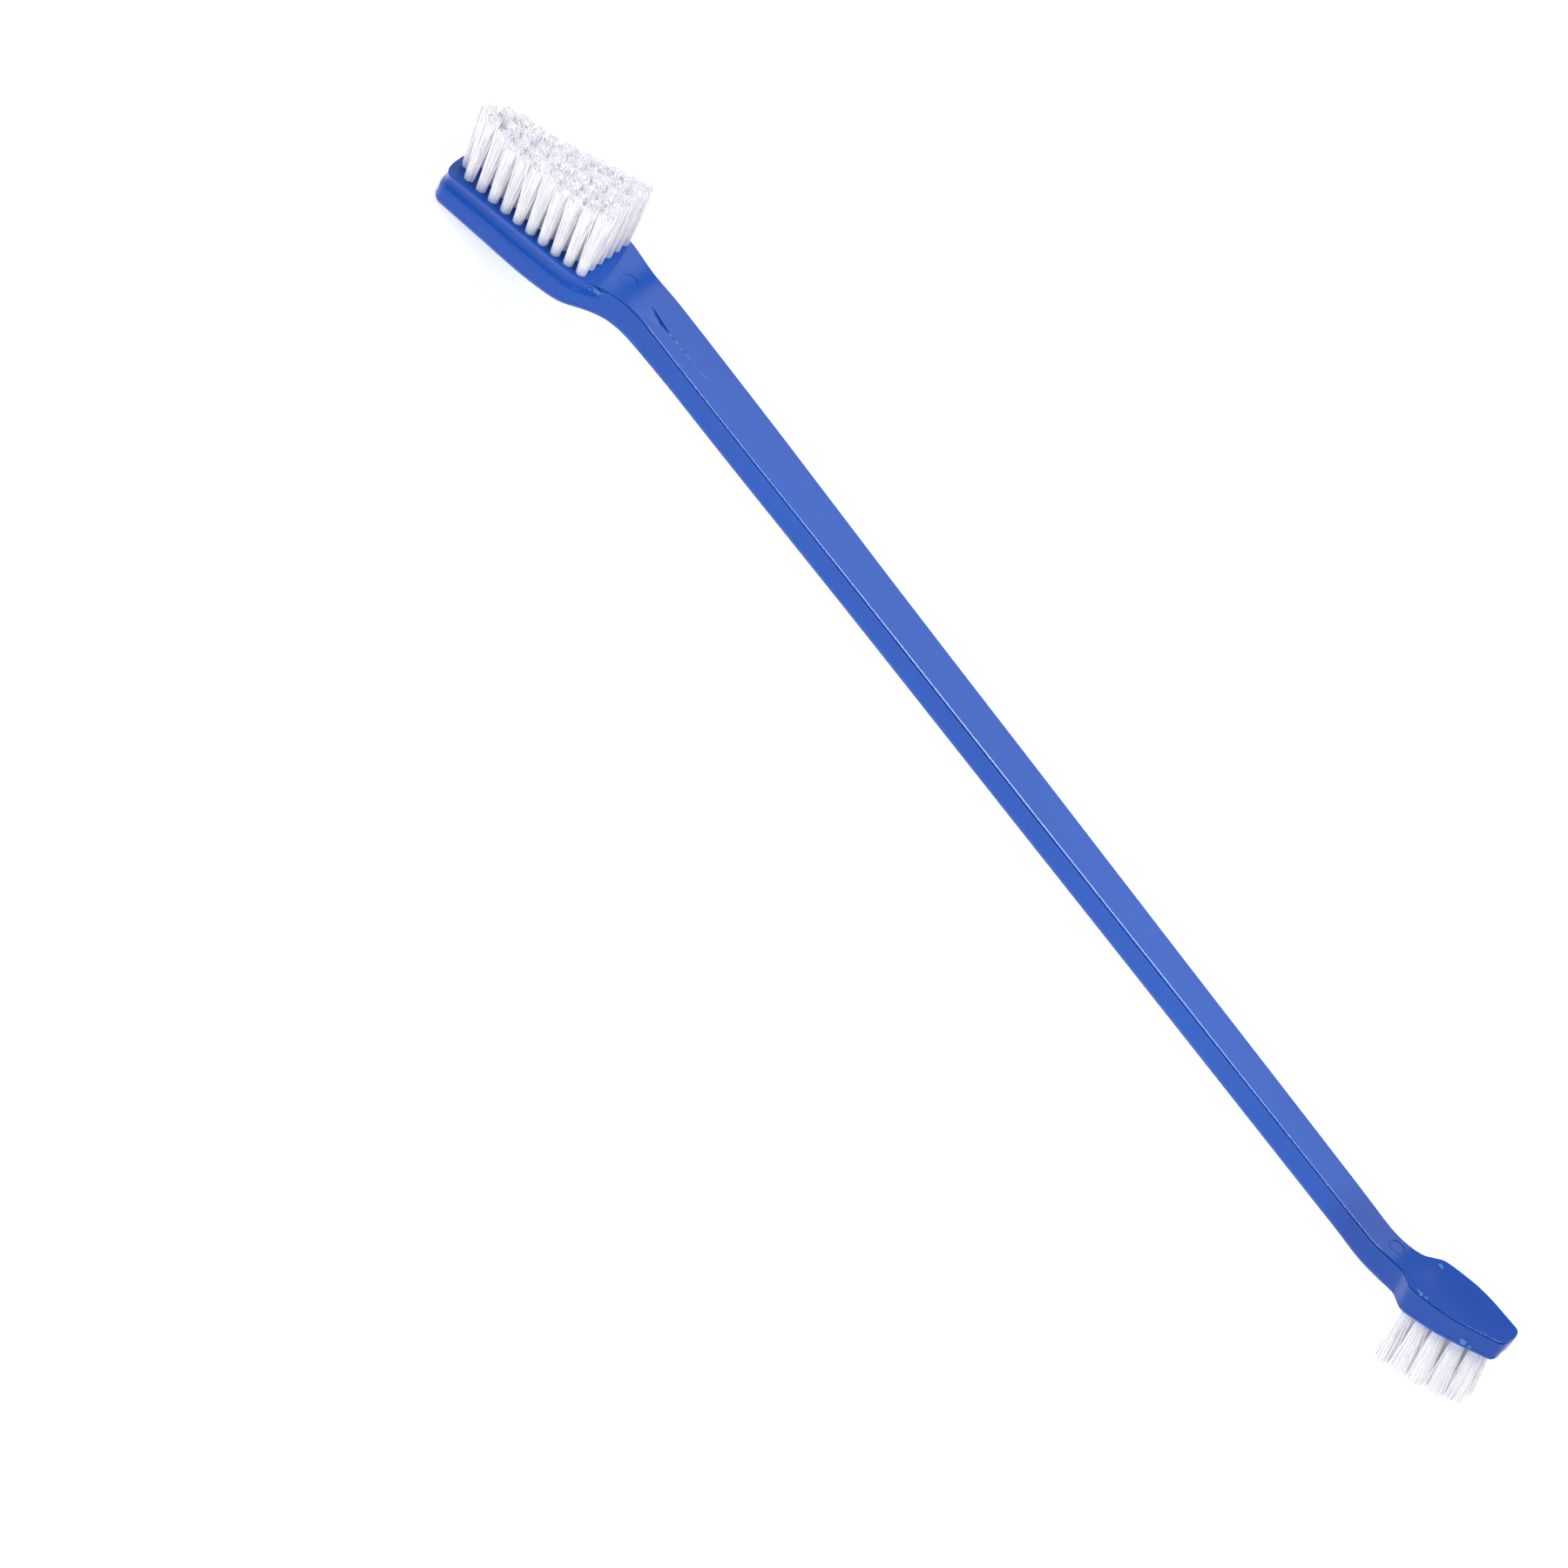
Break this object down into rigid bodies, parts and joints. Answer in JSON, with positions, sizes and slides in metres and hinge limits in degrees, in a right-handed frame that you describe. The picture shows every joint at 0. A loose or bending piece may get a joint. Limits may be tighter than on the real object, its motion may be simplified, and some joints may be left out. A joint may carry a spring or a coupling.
{
  "type": "pet toothbrush",
  "caption": "Double-ended pet toothbrush: a slim one-piece plastic handle with a large tapered bristle head at one end and a small one facing the other way at the other.",
  "frame": {"origin": "centre of the bounding box at its lowest level", "axes": "+X along the straight handle from the large head to the small head; +Y across the handle; +Z the way the large head's bristles point, away from the handle's back"},
  "size_m": [0.2216, 0.0148, 0.0238],
  "materials": {
    "handle": "blue polypropylene, satin gloss as moulded",
    "large_bristles": "translucent white nylon filament",
    "small_bristles": "translucent white nylon filament"
  },
  "bodies": {
    "root": {"handle": "handle", "large_tuft_01": "large_bristles", "large_tuft_02": "large_bristles", "large_tuft_03": "large_bristles", "large_tuft_04": "large_bristles", "large_tuft_05": "large_bristles", "large_tuft_06": "large_bristles", "large_tuft_07": "large_bristles", "large_tuft_08": "large_bristles", "large_tuft_09": "large_bristles", "large_tuft_10": "large_bristles", "large_tuft_11": "large_bristles", "large_tuft_12": "large_bristles", "large_tuft_13": "large_bristles", "large_tuft_14": "large_bristles", "large_tuft_15": "large_bristles", "large_tuft_16": "large_bristles", "large_tuft_17": "large_bristles", "large_tuft_18": "large_bristles", "large_tuft_19": "large_bristles", "large_tuft_20": "large_bristles", "large_tuft_21": "large_bristles", "large_tuft_22": "large_bristles", "large_tuft_23": "large_bristles", "large_tuft_24": "large_bristles", "large_tuft_25": "large_bristles", "large_tuft_26": "large_bristles", "large_tuft_27": "large_bristles", "large_tuft_28": "large_bristles", "large_tuft_29": "large_bristles", "large_tuft_30": "large_bristles", "large_tuft_31": "large_bristles", "large_tuft_32": "large_bristles", "large_tuft_33": "large_bristles", "large_tuft_34": "large_bristles", "large_tuft_35": "large_bristles", "large_tuft_36": "large_bristles", "large_tuft_37": "large_bristles", "large_tuft_38": "large_bristles", "large_tuft_39": "large_bristles", "large_tuft_40": "large_bristles", "large_tuft_41": "large_bristles", "large_tuft_42": "large_bristles", "large_tuft_43": "large_bristles", "large_tuft_44": "large_bristles", "large_tuft_45": "large_bristles", "large_tuft_46": "large_bristles", "large_tuft_47": "large_bristles", "small_tuft_01": "small_bristles", "small_tuft_02": "small_bristles", "small_tuft_03": "small_bristles", "small_tuft_04": "small_bristles", "small_tuft_05": "small_bristles", "small_tuft_06": "small_bristles", "small_tuft_07": "small_bristles", "small_tuft_08": "small_bristles", "small_tuft_09": "small_bristles", "small_tuft_10": "small_bristles", "small_tuft_11": "small_bristles", "small_tuft_12": "small_bristles"}
  },
  "joints": []
}
